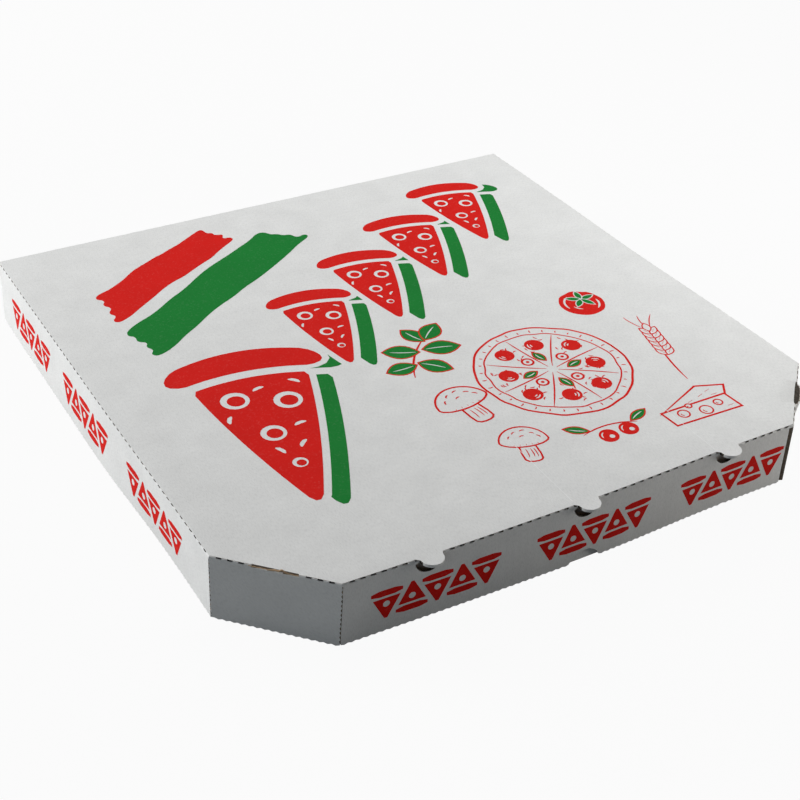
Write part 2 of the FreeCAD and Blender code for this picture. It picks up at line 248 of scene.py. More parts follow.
class Flat:
    """A flat group of faces with its own axes: u and v in the plane, n out of it."""

    def __init__(self, group):
        self.faces = group
        self.area = sum(face.calc_area() for face in group)
        self.n = max(group, key=lambda face: face.calc_area()).normal.copy()
        own = set(group)
        self.edges = []
        seen = set()
        for face in group:
            for edge in face.edges:
                if edge in seen:
                    continue
                seen.add(edge)
                if sum(other in own for other in edge.link_faces) == 1:
                    self.edges.append(edge)
        longest = max(self.edges, key=lambda edge: edge.calc_length())
        self.v = UP.copy() if abs(self.n.z) < 0.5 else Vector((0, 1, 0))
        if self.is_strip():
            self.v = self.n.cross((longest.verts[1].co - longest.verts[0].co).normalized())
        self.v = (self.v - self.n * self.v.dot(self.n)).normalized()
        self.u = self.v.cross(self.n)
        self.origin = longest.verts[0].co.copy()

    def is_strip(self):
        """A cut edge of the board: no wider than the board is thick."""
        length = sum(edge.calc_length() for edge in self.edges) / 2
        return self.area / length < 1.25 * BOARD and length > 4

    def flatten(self, point):
        offset = point - self.origin
        return Vector((offset.dot(self.u), offset.dot(self.v)))

    def lift(self, place):
        return self.origin + self.u * place[0] + self.v * place[1]


def clear_of(place, segments, gap):
    """Whether a point keeps its distance from every segment of an outline."""
    for start, end in segments:
        run = end - start
        share = (place - start).dot(run) / max(run.length_squared, 1e-12)
        nearest = start + run * min(max(share, 0.0), 1.0)
        if (place - nearest).length_squared < gap * gap:
            return False
    return True


def is_within(place, segments):
    """Whether a point lies inside an outline, by counting the sides to its right."""
    inside = False
    for start, end in segments:
        if (start.y > place.y) != (end.y > place.y):
            share = (place.y - start.y) / (end.y - start.y)
            if place.x < start.x + share * (end.x - start.x):
                inside = not inside
    return inside


def extent(places):
    """The lowest and highest u of some places, then the lowest and highest v."""
    across = [place.x for place in places]
    up = [place.y for place in places]
    return min(across), max(across), min(up), max(up)


def flute_of(normal):
    """Direction of the flutes in a panel that faces along normal. They run along Y in the flat sheet."""
    if abs(normal.z) > 0.9:
        return Vector((0, 1, 0))
    crease = UP.cross(normal)
    return crease * crease.y - UP * normal.y


HOLLOW = [(-0.36, -0.72), (-0.2, -0.1), (-0.08, 0.3), (0.08, 0.3), (0.2, -0.1), (0.36, -0.72)]
HOLLOW_DEPTH = 2.5
SHORTEST_CUT = 25.0
LEAST_CROSSING = 0.3


def flute_cells(flat):
    """Outlines of the hollows between liner and flutes along a cut edge."""
    crossing = abs(flute_of(flat.v).dot(flat.n))
    length = sum(edge.calc_length() for edge in flat.edges) / 2 - BOARD
    if crossing < LEAST_CROSSING or length < SHORTEST_CUT:
        return []
    pitch = FLUTE / crossing
    corners = [flat.flatten(vert.co) for edge in flat.edges for vert in edge.verts]
    left, right, low, high = extent(corners)
    middle = (low + high) / 2
    half = (high - low) / 2
    if abs(half - BOARD / 2) > NEAR:
        return []
    cells = []
    side = 1
    place = left + 0.6 * pitch
    while place < right - 0.6 * pitch:
        cell = [Vector((place + x * pitch, middle + side * y * half)) for x, y in HOLLOW[::-side]]
        cells.append(cell)
        side = -side
        place += pitch / 2
    return cells


def outline_loops(flat):
    """The outlines of a flat group, as lists of vertices: counterclockwise, the largest first."""
    beside = {}
    for edge in flat.edges:
        first, second = edge.verts
        beside.setdefault(first, []).append(second)
        beside.setdefault(second, []).append(first)
    loops = []
    done = set()
    for start in beside:
        if start in done:
            continue
        loop = [start]
        done.add(start)
        following = beside[start][0]
        while following not in done:
            loop.append(following)
            done.add(following)
            following = next((vert for vert in beside[following] if vert not in done), start)
        loops.append(loop)
    areas = []
    for loop in loops:
        places = [flat.flatten(vert.co) for vert in loop]
        area = sum(a.cross(b) for a, b in zip(places, places[1:] + places[:1])) / 2
        areas.append(abs(area))
        if area < 0:
            loop.reverse()
    order = sorted(range(len(loops)), key=lambda index: -areas[index])
    return [loops[index] for index in order]


ALL_TRIANGLES = 0
STRIP = 10.0


def inner_points(places, sides, step):
    """A lattice of points over the outline's box that keeps clear of its sides. Some lie outside it."""
    low_u, high_u, low_v, high_v = extent(places)
    gap = 0.4 * step
    rows = max(round((high_v - low_v) / step), 1)
    columns = max(round((high_u - low_u) / step), 1)
    near = {}
    for start, end in sides:
        first = math.floor((min(start.x, end.x) - gap) / STRIP)
        last = math.floor((max(start.x, end.x) + gap) / STRIP)
        for strip in range(first, last + 1):
            near.setdefault(strip, []).append((start, end))
    points = []
    for column in range(1, columns):
        across = low_u + (high_u - low_u) * column / columns
        beside = near.get(math.floor(across / STRIP), [])
        for row in range(1, rows):
            place = Vector((across, low_v + (high_v - low_v) * row / rows))
            if clear_of(place, beside, gap):
                points.append(place)
    return points


def refill(shape, flat, step, cells=()):
    """Lays new triangles in a flat group, with inner points step apart. Returns the faces in cells."""
    verts, places, loops, sides = [], [], [], []
    for loop in outline_loops(flat):
        first = len(places)
        verts += loop
        places += [flat.flatten(vert.co) for vert in loop]
        loops.append(list(range(first, len(places))))
        ring = places[first:]
        sides += list(zip(ring, ring[1:] + ring[:1]))
    outlines = len(loops)
    for cell in cells:
        if all(is_within(place, sides) for place in cell):
            loops.append(list(range(len(places), len(places) + len(cell))))
            places += cell
    if step:
        places += inner_points(places, sides, step)
    new_places, _, triangles, old_of, _, owners = delaunay_2d_cdt(places, [], loops, ALL_TRIANGLES, 1e-5)
    own = []
    for place, old in zip(new_places, old_of):
        fixed = [index for index in old if index < len(verts)]
        own.append(verts[fixed[0]] if fixed else shape.verts.new(flat.lift(place)))
    bmesh.ops.delete(shape, geom=flat.faces, context="FACES_ONLY")
    in_cells = []
    for triangle, owner in zip(triangles, owners):
        if 0 not in owner or any(0 < index < outlines for index in owner):
            continue
        face = shape.faces.new([own[index] for index in triangle])
        face.normal_update()
        if face.normal.dot(flat.n) < 0:
            face.normal_flip()
        if max(owner) >= outlines:
            in_cells.append(face)
    return in_cells


def sink(shape, faces, offset):
    """Sinks faces into the board, with walls round them."""
    if not faces:
        return
    made = bmesh.ops.extrude_face_region(shape, geom=faces)["geom"]
    bottom = [item for item in made if isinstance(item, bmesh.types.BMVert)]
    bmesh.ops.translate(shape, verts=bottom, vec=offset)
    bmesh.ops.delete(shape, geom=faces, context="FACES_ONLY")


def clear_loose(shape):
    wires = [edge for edge in shape.edges if not edge.link_faces]
    bmesh.ops.delete(shape, geom=wires, context="EDGES")
    points = [vert for vert in shape.verts if not vert.link_edges]
    bmesh.ops.delete(shape, geom=points, context="VERTS")


SHARP_ANGLE = math.radians(5)


def to_object(shape, name, materials):
    """An object of a shape in millimetres, with smooth faces between sharp edges."""
    bmesh.ops.scale(shape, vec=(MM, MM, MM), verts=shape.verts)
    mesh = bpy.data.meshes.new(name)
    shape.to_mesh(mesh)
    shape.free()
    for material in materials:
        mesh.materials.append(material)
    piece = bpy.data.objects.new(name, mesh)
    bpy.context.scene.collection.objects.link(piece)
    mesh.shade_smooth()
    mesh.set_sharp_from_angle(angle=SHARP_ANGLE)
    return piece


# Materials


def new_material(name, roughness):
    material = bpy.data.materials.new(name)
    material.use_nodes = True
    shader = material.node_tree.nodes["Principled BSDF"]
    shader.inputs["Roughness"].default_value = roughness
    return material, shader


def add_node(material, kind, **settings):
    node = material.node_tree.nodes.new(kind)
    for name, value in settings.items():
        setattr(node, name, value)
    return node


def add_noise(material, source, scale, detail=4.0, roughness=0.6):
    noise = add_node(material, "ShaderNodeTexNoise")
    noise.inputs["Scale"].default_value = scale
    noise.inputs["Detail"].default_value = detail
    noise.inputs["Roughness"].default_value = roughness
    material.node_tree.links.new(source, noise.inputs["Vector"])
    return noise.outputs["Fac"]


def add_ramp(material, source, stops):
    ramp = add_node(material, "ShaderNodeValToRGB")
    elements = ramp.color_ramp.elements
    for index, (place, colour) in enumerate(stops):
        element = elements[index] if index < 2 else elements.new(place)
        element.position = place
        element.color = (*colour, 1)
    material.node_tree.links.new(source, ramp.inputs["Fac"])
    return ramp.outputs["Color"]


def add_product(material, first, second):
    """One colour times another. The numbers are the mix node's sockets for colours."""
    mix = add_node(material, "ShaderNodeMix", data_type="RGBA", blend_type="MULTIPLY")
    mix.inputs[0].default_value = 1.0
    material.node_tree.links.new(first, mix.inputs[6])
    material.node_tree.links.new(second, mix.inputs[7])
    return mix.outputs[2]


def add_bump(material, shader, height, strength, distance):
    bump = add_node(material, "ShaderNodeBump")
    bump.inputs["Strength"].default_value = strength
    bump.inputs["Distance"].default_value = distance
    material.node_tree.links.new(height, bump.inputs["Height"])
    material.node_tree.links.new(bump.outputs["Normal"], shader.inputs["Normal"])


def add_math(material, how, first, second=0.0):
    node = add_node(material, "ShaderNodeMath", operation=how)
    for socket, value in zip(node.inputs, (first, second)):
        if isinstance(value, bpy.types.NodeSocket):
            material.node_tree.links.new(value, socket)
        else:
            socket.default_value = value
    return node.outputs[0]


def sheet_coordinates(material):
    """Places on the unfolded sheet in millimetres, from the mesh's own map."""
    return add_node(material, "ShaderNodeUVMap", uv_map="sheet").outputs["UV"]


def object_coordinates(material):
    return add_node(material, "ShaderNodeTexCoord").outputs["Object"]


def scaled(colour, amount):
    return tuple(channel * amount for channel in colour)


def paper(name, colour, mottle, washboard, fibre=1.0):
    """Paper over flutes: cloudy formation, short fibres and a faint washboard."""
    material, shader = new_material(name, 0.82)
    shader.inputs["Specular IOR Level"].default_value = 0.25
    links = material.node_tree.links
    place = sheet_coordinates(material)
    space = object_coordinates(material)
    clouds = add_noise(material, space, 55.0, detail=5.0)
    tone = add_ramp(material, clouds, [
        (0.3, scaled(colour, 1 - mottle)),
        (0.7, scaled(colour, 1 + mottle)),
    ])
    stretch = add_node(material, "ShaderNodeMapping")
    stretch.inputs["Scale"].default_value = (2.2, 0.5, 1.0)
    links.new(place, stretch.inputs["Vector"])
    fibres = add_noise(material, stretch.outputs["Vector"], 1.0, detail=3.0, roughness=0.7)
    specks = add_ramp(material, fibres, [
        (0.3, scaled((1, 1, 1), 1 - 0.07 * fibre)),
        (0.55, (1, 1, 1)),
    ])
    links.new(add_product(material, tone, specks), shader.inputs["Base Color"])
    across = add_node(material, "ShaderNodeSeparateXYZ")
    links.new(place, across.inputs["Vector"])
    turns = add_math(material, "MULTIPLY", across.outputs["X"], 2 * math.pi / FLUTE)
    wave = add_math(material, "SINE", turns)
    fine = add_noise(material, space, 1400.0, detail=3.0)
    height = add_math(material, "ADD", add_math(material, "MULTIPLY", wave, washboard), fine)
    add_bump(material, shader, height, 0.35, 0.00012)
    return material


def cut_board(name, dark, light):
    """Cut edges of the board: rough kraft, darker and lighter in turns."""
    material, shader = new_material(name, 0.95)
    shader.inputs["Specular IOR Level"].default_value = 0.1
    space = object_coordinates(material)
    grain = add_noise(material, space, 700.0, detail=4.0)
    tone = add_ramp(material, grain, [(0.3, dark), (0.7, light)])
    material.node_tree.links.new(tone, shader.inputs["Base Color"])
    add_bump(material, shader, grain, 0.5, 0.0003)
    return material


def ink(name, colour):
    """Flat printing ink, a little thinner where the paper's fibres stand up."""
    material, shader = new_material(name, 0.7)
    shader.inputs["Specular IOR Level"].default_value = 0.08
    space = object_coordinates(material)
    wear = add_noise(material, space, 900.0, detail=5.0, roughness=0.7)
    clouds = add_noise(material, space, 45.0, detail=3.0)
    light = tuple(channel + 0.05 * (0.8 - channel) for channel in colour)
    thin = add_ramp(material, wear, [(0.3, light), (0.45, colour)])
    tone = add_ramp(material, clouds, [(0.3, (0.93, 0.93, 0.93)), (0.7, (1, 1, 1))])
    material.node_tree.links.new(add_product(material, thin, tone), shader.inputs["Base Color"])
    add_bump(material, shader, wear, 0.2, 0.0001)
    return material


white_liner = paper("white_liner", (0.76, 0.765, 0.755), 0.04, 0.2, fibre=2.0)
# A painted highlight: the light line along the score creases, lighter than the liner.
painted_score_highlight = paper("painted_score_highlight", (0.87, 0.875, 0.87), 0.02, 0.15)
kraft_liner = paper("kraft_liner", (0.43, 0.29, 0.17), 0.08, 0.4, fibre=2.5)
cut_edge = cut_board("cut_edge", (0.17, 0.135, 0.1), (0.38, 0.31, 0.24))
# Painted shade for cut edges that lie in shade: the tab holes, the notch, the gap at the front flap's right
# end and the right slot.
shaded_cut = cut_board("shaded_cut", (0.02, 0.017, 0.015), (0.1, 0.085, 0.07))
red_ink = ink("red_ink", (0.68, 0.010, 0.006))
green_ink = ink("green_ink", (0.008, 0.2, 0.03))
SHEET_MATERIALS = [white_liner, kraft_liner, cut_edge, shaded_cut]


# The sheet of the lid and of the tray, each from its CAD solid


def map_sheet(shape, fold_level):
    """Writes the places on the unfolded sheet into the mesh's map, by each face's direction."""
    layer = shape.loops.layers.uv.new("sheet")
    for face in shape.faces:
        side = -1 if face.material_index == KRAFT else 1
        lean = Vector((face.normal.x, face.normal.y)) * side
        for loop in face.loops:
            place = loop.vert.co
            flat = Vector((place.x, place.y)) + lean * abs(fold_level - place.z)
            loop[layer].uv = flat


LINER_DEPTH = 0.4


def lid_finish(face, planes):
    """Which side of the board a face of the lid shows, or painted shade on a cut edge where shade falls."""
    centre = face.calc_center_median()
    if abs(face.normal.z) > 0.9 and centre.z > TOP - NEAR:
        return LINER
    if face.normal.z < -0.9 and abs(centre.z - TOP + BOARD) < NEAR:
        return KRAFT
    depth, index = depth_inside(centre, planes)
    outward = planes[index][0].dot(face.normal)
    if depth < LINER_DEPTH and max(outward, face.normal.z) > 0.3 and centre.z > RIM + 0.1:
        return LINER
    if abs(depth - BOARD) < NEAR and outward < -0.9:
        return KRAFT
    # Painted shade: cut edges where shade falls at the tab holes, notch, front flap's right end and right
    # slot.
    if gets_painted_shade(centre):
        return SHADED
    # Painted shade on the tongue's cut edges that face left, the side away from the light. The others show
    # the white liner.
    if centre.y < FRONT - 0.3:
        return SHADED if face.normal.x < -0.2 else LINER
    return CUT


def gets_painted_shade(place):
    """Whether a cut edge gets painted shade: at the tab holes, notch, front flap's right end or right slot,
    where shade falls.
    """
    at_front = FRONT - 0.3 < place.y < FRONT + 1.2 * BOARD
    in_hole = place.z > TOP - TAB_RADIUS - 2 * BOARD
    at_tab = any(abs(place.x - middle) < TAB_RADIUS + 0.1 for middle in TABS)
    in_notch = abs(place.x) < NOTCH_HALF and RIM + 0.5 < place.z < TOP / 2
    at_end = FRONT_END - 2 * BOARD < place.x < FRONT_END - 1.1
    along, inwards, drop = at_right_slot(place)
    in_slot = abs(along) < SLOT_HALF and abs(inwards - SLOT_WIDTH) < NEAR and drop < SLOT_DROP
    return (at_front and ((in_hole and at_tab) or in_notch or at_end)) or in_slot


def tray_finish(flat, planes):
    """Which side of the board a flat of the tray shows."""
    if flat.is_strip():
        return CUT
    centre = flat.faces[0].calc_center_median()
    if flat.n.z < -0.9:
        return LINER
    if flat.n.z > 0.9:
        return KRAFT
    depth, index = depth_inside(centre, planes)
    if depth < LINER_DEPTH and planes[index][0].dot(flat.n) > 0.3:
        return LINER
    return KRAFT


SMALL_FLAT = 60.0
LID_STEP = 9.0
TRAY_STEP = 20.0
EDGE_STEP = 9.0
LONG_EDGE = 12.0


def rebuild(shape, step_of, step):
    """Lays a shape's flats out anew and opens the flutes along its cut edges."""
    split_edges(shape, step_of)
    flats = [Flat(group) for group in flat_groups(shape)]
    for flat in flats:
        if flat.is_strip():
            cells = refill(shape, flat, None, flute_cells(flat))
            sink(shape, cells, flat.n * -HOLLOW_DEPTH)
        elif flat.area > SMALL_FLAT:
            refill(shape, flat, step)
    clear_loose(shape)


def plain_step(edge):
    return EDGE_STEP if edge.calc_length() > LONG_EDGE else 0


# The left flap and the front flap end close to the slanted panel at the left, which has the
# toothed ends that the cutting die leaves. The front flap's right end leaves a wider gap.

END_GAP = 0.5
RIGHT_GAP = 2.7
CAD_GAP = BOARD * SLANT + 0.6
FLAP_ENDS = [
    # outer corner of a flap's end, and where it is moved to
    (Vector((-FRONT_END + CAD_GAP, FRONT)), Vector((-FRONT_END + END_GAP, FRONT))),
    (Vector((-SIDE, SIDE_END + CAD_GAP)), Vector((-SIDE, SIDE_END + END_GAP))),
    (Vector((FRONT_END - CAD_GAP, FRONT)), Vector((FRONT_END - RIGHT_GAP, FRONT))),
]
END_TOOTH = 2.55
END_TOOTH_OUT = 0.38
END_TOOTH_IN = 0.28
RIM_TOOTH = 3.6
RIM_TOOTH_UP = 0.4
RIM_TOOTH_DOWN = 0.2
TOOTHED_ENDS = [
    # corner line where a slanted panel ends, and the way its teeth point
    (Vector((-FRONT_END, FRONT)), Vector((SLANT, -SLANT, 0))),
    (Vector((-SIDE, SIDE_END)), Vector((-SLANT, SLANT, 0))),
]


def tooth_at(point):
    """The way along a slanted panel at whose end a point is, or None."""
    for place, way in TOOTHED_ENDS:
        if (point.xy - place).length < TOUCHING:
            return way
    return None


def is_rim(edge):
    on_rim = all(abs(vert.co.z - RIM) < TOUCHING for vert in edge.verts)
    return on_rim and edge.calc_length() > LONG_EDGE


def is_on_slot(point):
    along, inwards, drop = at_right_slot(point)
    return abs(along) < SLOT_HALF + 0.1 and abs(inwards) < 1 and drop < SLOT_DROP + 0.1


def lid_step(edge):
    first, second = (vert.co for vert in edge.verts)
    upright = abs(first.z - second.z) > LONG_EDGE
    if upright and tooth_at(first) is not None and tooth_at(second) is not None:
        return END_TOOTH / 2
    if is_rim(edge):
        return RIM_TOOTH / 2
    if is_on_slot(first) and is_on_slot(second):
        return SLOT_HALF / 6
    return plain_step(edge)


def move_ends(shape):
    """Moves the ends of the flaps to where they are on the real sheet."""
    for vert in shape.verts:
        for start, place in FLAP_ENDS:
            if (vert.co.xy - start).length < NEAR:
                vert.co.x, vert.co.y = place


def add_teeth(shape, planes):
    """Gives the slanted panel's ends and the lower rim of the flaps the small teeth of the die."""
    for vert in shape.verts:
        way = tooth_at(vert.co)
        if way is not None and RIM + 0.5 < vert.co.z < TOP - 2:
            is_odd = round((vert.co.z - RIM) / (END_TOOTH / 2)) % 2
            vert.co += way * (END_TOOTH_OUT if is_odd else -END_TOOTH_IN)
        elif abs(vert.co.z - RIM) < TOUCHING:
            depth, plane = depth_inside(vert.co, planes)
            if depth < NEAR or abs(depth - BOARD) < NEAR:
                is_odd = round(vert.co.dot(UP.cross(planes[plane][0])) / (RIM_TOOTH / 2)) % 2
                vert.co.z += RIM_TOOTH_UP if is_odd else -RIM_TOOTH_DOWN


lid_planes = hull_planes(0)
lid = cad_shape("lid")
move_ends(lid)
rebuild(lid, lid_step, LID_STEP)
lid.normal_update()
for face in lid.faces:
    face.material_index = lid_finish(face, lid_planes)
map_sheet(lid, TOP)
add_teeth(lid, lid_planes)
for vert in lid.verts:
    vert.co = settle(vert.co)
lid_sheet = to_object(lid, "lid_sheet", SHEET_MATERIALS)
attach(lid_sheet, "lid")
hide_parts("lid")

tray_planes = hull_planes(TRAY_INSET)
tray = cad_shape("tray")
rebuild(tray, plain_step, TRAY_STEP)
tray.normal_update()
for flat in [Flat(group) for group in flat_groups(tray)]:
    finish = tray_finish(flat, tray_planes)
    for face in flat.faces:
        face.material_index = finish
map_sheet(tray, 0.0)
for vert in tray.verts:
    vert.co = lean_in(vert.co)
tray_sheet = to_object(tray, "tray_sheet", SHEET_MATERIALS)
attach(tray_sheet, "tray")
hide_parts("tray")


# A strip of liner that has torn at the left slot and curls up from its inner lip.

CURL_START = Vector((-SIDE + 12.4, SIDE_END - 12.4, TOP - 0.45))
CURL_LENGTH = 22.0
CURL_STEPS = 30
CURL_PEAK = 0.62
along = Vector((SLANT, -SLANT, 0))
inward = Vector((SLANT, SLANT, 0))
lift = UP * 0.1
curl = bmesh.new()
rows = []
for index in range(CURL_STEPS + 1):
    share = index / CURL_STEPS
    peak = math.exp(-((share - CURL_PEAK) / 0.13) ** 2)
    rise = peak * (1.0 + 0.35 * math.sin(40 * share)) + 0.1 * math.sin(60 * share)
    sway = 0.3 * peak * math.sin(25 * share)
    spine = CURL_START + along * (CURL_LENGTH * share) + UP * rise - inward * sway
    half = inward * (0.14 + 0.2 * peak)
    corners = (spine - half - lift, spine + half - lift, spine + half + lift, spine - half + lift)
    rows.append([curl.verts.new(settle(corner)) for corner in corners])
for near, far in zip(rows, rows[1:]):
    for side in range(4):
        after = (side + 1) % 4
        curl.faces.new((near[side], near[after], far[after], far[side]))
curl.faces.new(rows[0][::-1])
curl.faces.new(rows[-1])
bmesh.ops.recalc_face_normals(curl, faces=curl.faces[:])
torn_curl = to_object(curl, "torn_curl", [kraft_liner])
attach(torn_curl, "lid")


# Print: outlines in a panel's own plane, painted in turn, so that later ones cover earlier ones.

# The score lines' film is a painted highlight along each crease, not ink.
RED, GREEN, SCORE_HIGHLIGHT, BARE = "red", "green", "score_highlight", "bare"
INKS = {RED: red_ink, GREEN: green_ink, SCORE_HIGHLIGHT: painted_score_highlight}
INK_HEIGHT = 0.04
PRINT_STEP = 9.0

PANELS = {
    "top": (Vector((0, 0, TOP)), Vector((1, 0, 0)), Vector((0, 1, 0))),
    "front": (Vector((0, FRONT, 0)), Vector((1, 0, 0)), UP),
    "left": (Vector((-SIDE, 0, 0)), Vector((0, -1, 0)), UP),
    "right": (Vector((SIDE, 0, 0)), Vector((0, 1, 0)), UP),
}


def moved(outline, place=(0, 0), turn=0.0, size=1.0):
    """An outline turned by degrees, resized and moved."""
    spin = Matrix.Rotation(math.radians(turn), 2)
    return [spin @ (Vector(point) * size) + Vector(place) for point in outline]


def arc(centre, radius, start, end, count):
    """Points on an arc, from one angle in degrees to another."""
    points = []
    for index in range(count + 1):
        angle = math.radians(start + (end - start) * index / count)
        points.append(Vector(centre) + Vector((math.cos(angle), math.sin(angle))) * radius)
    return points


def disc(centre, radius, count=24):
    return arc(centre, radius, 0, 360 * (count - 1) / count, count - 1)


def grown(outline, width):
    """An outline pushed outwards, for one that runs counterclockwise."""
    grown_points = []
    for index, point in enumerate(outline):
        before = outline[index - 1]
        after = outline[(index + 1) % len(outline)]
        arriving = (point - before).normalized()
        leaving = (after - point).normalized()
        out = Vector((arriving.y + leaving.y, -arriving.x - leaving.x))
        if out.length < 1e-6:
            out = Vector((arriving.y, -arriving.x))
        out.normalize()
        reach = width / max(out.dot(Vector((arriving.y, -arriving.x))), 0.5)
        grown_points.append(point + out * reach)
    return grown_points


def stroke(points, width, tip=0.35):
    """Outline of a drawn line that thins out to both ends."""
    left, right = [], []
    for index, point in enumerate(points):
        before = points[max(index - 1, 0)]
        after = points[min(index + 1, len(points) - 1)]
        run = (after - before).normalized()
        share = index / (len(points) - 1)
        half = width / 2 * (tip + (1 - tip) * min(1.0, 4 * min(share, 1 - share)))
        side = Vector((-run.y, run.x)) * half
        left.append(point + side)
        right.append(point - side)
    return right + left[::-1]


def bow(start, end, rise, count=10):
    """Points from start to end that bow out to the left by rise."""
    start, end = Vector(start), Vector(end)
    run = end - start
    side = Vector((-run.y, run.x)).normalized()
    points = []
    for index in range(count + 1):
        share = index / count
        points.append(start + run * share + side * rise * 4 * share * (1 - share))
    return points


def softened(outline, rounds=2):
    """An outline with its corners cut off, round after round."""
    for _ in range(rounds):
        cut = []
        for index, point in enumerate(outline):
            after = outline[(index + 1) % len(outline)]
            cut += [point.lerp(after, 0.25), point.lerp(after, 0.75)]
        outline = cut
    return outline


def polygon(*corners):
    return [Vector(corner) for corner in corners]


def wavy(start, end, dice):
    """Points between two ends, along a gently wavy line."""
    run = end - start
    side = Vector((run.y, -run.x)).normalized()
    phase = dice.uniform(0, 6)
    points = []
    for index in range(1, 13):
        share = index / 13
        points.append(start + run * share + side * (math.sin(share * 9 + phase) + dice.uniform(-0.6, 0.6)))
    return points


def ragged(start, end, dice):
    """Points between two ends, along the ragged end of a brush stroke."""
    run = end - start
    side = Vector((run.y, -run.x)).normalized()
    points = []
    for index in range(1, 8):
        reach = dice.uniform(0.5, 3.0) if index % 2 else dice.uniform(-3.0, -0.5)
        points.append(start + run * (index / 8 + dice.uniform(-0.03, 0.03)) + side * reach)
    return points


def brush_stripe(corners, seed):
    """A broad brush stroke with wavy sides and ragged ends. Its corners run counterclockwise."""
    dice = random.Random(seed)
    near_right, far_right, far_left, near_left = polygon(*corners)
    return softened(
        [near_right] + wavy(near_right, far_right, dice)
        + [far_right] + ragged(far_right, far_left, dice)
        + [far_left] + wavy(far_left, near_left, dice)
        + [near_left] + ragged(near_left, near_right, dice)
    )


def fill(paint):
    """The fields of each ink: {ink: triangles of places}, from outlines painted in turn."""
    places, loops = [], []
    for outline, _ in paint:
        loops.append(list(range(len(places), len(places) + len(outline))))
        places += outline
    low_u, high_u, low_v, high_v = extent(places)
    for column in range(1, int((high_u - low_u) / PRINT_STEP)):
        for row in range(1, int((high_v - low_v) / PRINT_STEP)):
            places.append(Vector((low_u + column * PRINT_STEP, low_v + row * PRINT_STEP)))
    spots, _, triangles, _, _, owners = delaunay_2d_cdt(places, [], loops, ALL_TRIANGLES, 1e-3)
    fields = {shade: [] for shade in INKS}
    for triangle, owner in zip(triangles, owners):
        shade = paint[max(owner)][1] if owner else BARE
        if shade in fields:
            fields[shade].append(triangle)
    return spots, fields


def print_on(panel, paint):
    """Makes a thin film on a panel of the lid for each ink in paint: printed ink, or the painted highlight
    of the score lines.
    """
    origin, across, up = PANELS[panel]
    out = across.cross(up)
    spots, fields = fill(paint)
    for shade, triangles in fields.items():
        if not triangles:
            continue
        film = bmesh.new()
        verts = {}
        for triangle in triangles:
            for index in triangle:
                if index not in verts:
                    spot = spots[index]
                    verts[index] = film.verts.new(settle(origin + across * spot.x + up * spot.y))
            film.faces.new([verts[index] for index in triangle])
        film.normal_update()
        for face in film.faces:
            if face.normal.dot(out) < 0:
                face.normal_flip()
        made = bmesh.ops.extrude_face_region(film, geom=film.faces[:])["geom"]
        raised = [item for item in made if isinstance(item, bmesh.types.BMVert)]
        upper = set(raised)
        lowered = [vert for vert in film.verts if vert not in upper]
        bmesh.ops.translate(film, verts=raised, vec=out * INK_HEIGHT)
        bmesh.ops.translate(film, verts=lowered, vec=out * -INK_HEIGHT)
        bmesh.ops.recalc_face_normals(film, faces=film.faces[:])
        piece = to_object(film, f"{panel}_print_{shade}", [INKS[shade]])
        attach(piece, "lid")


def slice_outline():
    """A slice of pizza with its point down: the filling and the crust apart."""
    left_side = bow((-20.5, 23), (-1.6, -46.5), -1.6, 8)
    right_side = bow((1.6, -46.5), (20.5, 23), -1.6, 8)
    filling = left_side + right_side + bow((20.5, 23), (-20.5, 23), -3.0, 8)[1:-1]
    under = bow((-23, 26.6), (23, 26.6), 3.6, 8)
    over = bow((24, 38), (-24, 38), -5.5, 8)
    crust = under + polygon((28, 28.5), (28, 33)) + over + polygon((-28, 33), (-28, 28.5))
    return softened(filling, 1), softened(crust, 1)


SLICES = [
    # place, turn in degrees, size
    ((-97, -40), -8, 1.45),
    ((-34, 26), -8, 0.86),
    ((11, 54), -8, 0.86),
    ((56, 82), -8, 0.86),
    ((101, 109), -8, 0.86),
]
TOPPINGS = [(-8.5, 13.5, 5.0), (8.5, 8.5, 5.0), (-2.0, -8.5, 4.4), (1.0, -26.5, 2.6)]
SPRINKLES = [(1, 18, 20), (-13, 3, 70), (14, 19, -40), (8, -6, 15), (-3, -18.5, -60), (5.5, -17, 50)]
SHADOW = Vector((9.5, -7.5))


def slice_row():
    """Slices in a rising row, each with a green shadow behind it and a bare rim round it."""
    paint = []
    parts = [[moved(part, *layout) for part in slice_outline()] for layout in SLICES]
    for pair in parts:
        for outline in pair:
            paint.append(([point + SHADOW for point in outline], GREEN))
    for pair in parts:
        for outline in pair:
            paint.append((grown(outline, 3.6), BARE))
    for pair, layout in zip(parts, SLICES):
        for outline in pair:
            paint.append((outline, RED))
        for x, y, radius in TOPPINGS:
            paint.append((moved(disc((x, y), radius, 20), *layout), BARE))
            paint.append((moved(disc((x + 0.3, y - 0.3), radius * 0.62, 16), *layout), RED))
        for x, y, lean in SPRINKLES:
            dash = moved(stroke(bow((-2.2, 0), (2.2, 0), 0.5, 4), 1.5), (x, y), lean)
            paint.append((moved(dash, *layout), BARE))
    return paint


LINE = 1.15


def pointed(length, bulge, count=5):
    """A narrow oval with two points, from the origin along the first axis."""
    there = bow((0, 0), (length, 0), -bulge, count)
    return there[:-1] + bow((length, 0), (0, 0), -bulge, count)[:-1]


def drawn(outline, width=LINE, inside=BARE):
    """A shape with a red line round it."""
    return [(grown(outline, width), RED), (outline, inside)]


def line(points, width=LINE, shade=RED):
    return [(stroke(points, width), shade)]


def leaf(place, turn, length, width):
    """A green leaf with a red line round it and a bare vein."""
    edge = pointed(length, width / 2, 8)
    vein = stroke(bow((1.5, 0), (length * 0.8, 0), 0.4, 6), 0.7)
    return drawn(moved(edge, place, turn), 0.7, GREEN) + [(moved(vein, place, turn), BARE)]


def shifted(paint, place, turn=0.0, size=1.0):
    """A whole group of outlines turned, resized and moved."""
    return [(moved(outline, place, turn, size), shade) for outline, shade in paint]


